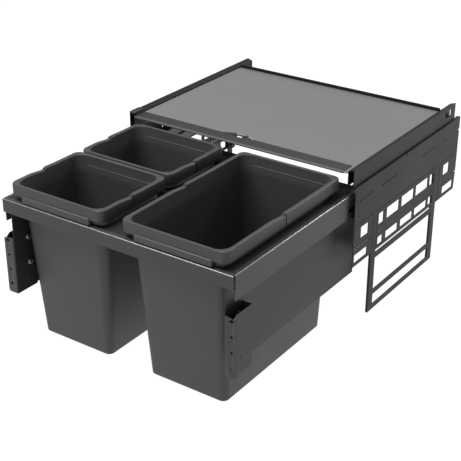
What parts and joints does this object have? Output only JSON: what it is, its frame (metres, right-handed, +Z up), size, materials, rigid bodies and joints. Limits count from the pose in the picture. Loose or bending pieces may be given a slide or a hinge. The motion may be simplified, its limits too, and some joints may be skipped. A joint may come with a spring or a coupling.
{
  "type": "pull-out waste sorting unit",
  "caption": "Pull-out under-sink waste sorter: perforated side plates with legs carry a sliding cover and a runner-mounted frame with lift-out bins and front brackets.",
  "frame": {"origin": "middle of the bounding box's footprint with the drawer frame fully pulled out, at the level of the support legs' feet", "axes": "+X to the right of a person in front of the cabinet, +Y into the cabinet, +Z up; the frame pulls out along -Y"},
  "size_m": [0.564, 0.8744, 0.3598],
  "materials": {
    "coated_steel": "fine-textured anthracite powder coat",
    "satin_steel": "satin anthracite enamel",
    "cover_paint": "satin mid-grey lacquer",
    "bin_plastic": "fine-grained moulded polypropylene",
    "dark_plastic": "moulded, fine matt grain",
    "zinc_steel": "zinc-plated rolled steel"
  },
  "bodies": {
    "cabinet_side": {"side_plate_left": "coated_steel", "cover_glide_front_left": "dark_plastic", "cover_glide_rear_left": "dark_plastic", "runner_cabinet_left": "zinc_steel", "side_plate_right": "coated_steel", "cover_glide_front_right": "dark_plastic", "cover_glide_rear_right": "dark_plastic", "runner_cabinet_right": "zinc_steel"},
    "leg_left": {"support_leg_left": "coated_steel"},
    "leg_right": {"support_leg_right": "coated_steel"},
    "cover": {"cover_sheet": "cover_paint", "cover_rear_lip": "coated_steel", "cover_front_strip": "dark_plastic", "cover_rail_left": "coated_steel", "cover_rail_right": "coated_steel"},
    "runner_middle_left": {"runner_middle_left": "zinc_steel"},
    "runner_middle_right": {"runner_middle_right": "zinc_steel"},
    "drawer_frame": {"front_rail": "satin_steel", "rear_rail": "coated_steel", "bin_support_plate": "coated_steel", "side_rail_left": "satin_steel", "side_panel_left": "satin_steel", "runner_drawer_left": "zinc_steel", "side_rail_right": "satin_steel", "side_panel_right": "satin_steel", "runner_drawer_right": "zinc_steel"},
    "bracket_left": {"front_bracket_left": "satin_steel"},
    "bracket_right": {"front_bracket_right": "satin_steel"},
    "bin_left_front": {"bin_left_front": "bin_plastic"},
    "bin_left_rear": {"bin_left_rear": "bin_plastic"},
    "bin_right": {"bin_right": "bin_plastic"},
    "upper_screw_left": {"upper_adjusting_screw_left": "zinc_steel"},
    "lower_screw_left": {"lower_adjusting_screw_left": "zinc_steel"},
    "upper_screw_right": {"upper_adjusting_screw_right": "zinc_steel"},
    "lower_screw_right": {"lower_adjusting_screw_right": "zinc_steel"}
  },
  "joints": [
    {"name": "frame_slide", "type": "slide", "parent": "cabinet_side", "child": "drawer_frame", "axis": [0, -1, 0], "range_m": [-0.396, 0]},
    {"name": "runner_slide_left", "type": "slide", "parent": "cabinet_side", "child": "runner_middle_left", "axis": [0, -1, 0], "range_m": [-0.198, 0]},
    {"name": "runner_slide_right", "type": "slide", "parent": "cabinet_side", "child": "runner_middle_right", "axis": [0, -1, 0], "range_m": [-0.198, 0]},
    {"name": "cover_slide", "type": "slide", "parent": "cabinet_side", "child": "cover", "axis": [0, 1, 0], "range_m": [-0.2, 0]},
    {"name": "leg_slide_left", "type": "slide", "parent": "cabinet_side", "child": "leg_left", "axis": [0, 0, 1], "range_m": [0, 0.075]},
    {"name": "leg_slide_right", "type": "slide", "parent": "cabinet_side", "child": "leg_right", "axis": [0, 0, 1], "range_m": [0, 0.075]},
    {"name": "bin_left_front_lift", "type": "slide", "parent": "drawer_frame", "child": "bin_left_front", "axis": [0, 0, 1], "range_m": [0, 0.36]},
    {"name": "bin_left_rear_lift", "type": "slide", "parent": "drawer_frame", "child": "bin_left_rear", "axis": [0, 0, 1], "range_m": [0, 0.36]},
    {"name": "bin_right_lift", "type": "slide", "parent": "drawer_frame", "child": "bin_right", "axis": [0, 0, 1], "range_m": [0, 0.36]},
    {"name": "bracket_height_left", "type": "slide", "parent": "drawer_frame", "child": "bracket_left", "axis": [0, 0, 1], "range_m": [0, 0.002]},
    {"name": "bracket_height_right", "type": "slide", "parent": "drawer_frame", "child": "bracket_right", "axis": [0, 0, 1], "range_m": [0, 0.002]},
    {"name": "upper_screw_turn_left", "type": "hinge", "parent": "drawer_frame", "child": "upper_screw_left", "pos_m": [-0.25, -0.39825, 0.213], "axis": [1, 0, 0], "range_deg": [0, 180]},
    {"name": "lower_screw_turn_left", "type": "hinge", "parent": "drawer_frame", "child": "lower_screw_left", "pos_m": [-0.25, -0.39825, 0.157], "axis": [1, 0, 0], "range_deg": [0, 180]},
    {"name": "upper_screw_turn_right", "type": "hinge", "parent": "drawer_frame", "child": "upper_screw_right", "pos_m": [0.25, -0.39825, 0.213], "axis": [1, 0, 0], "range_deg": [0, 180]},
    {"name": "lower_screw_turn_right", "type": "hinge", "parent": "drawer_frame", "child": "lower_screw_right", "pos_m": [0.25, -0.39825, 0.157], "axis": [1, 0, 0], "range_deg": [0, 180]}
  ],
  "couplings": [
    {"joint": "runner_slide_left", "follows": "frame_slide", "ratio": 0.5},
    {"joint": "runner_slide_right", "follows": "frame_slide", "ratio": 0.5}
  ]
}
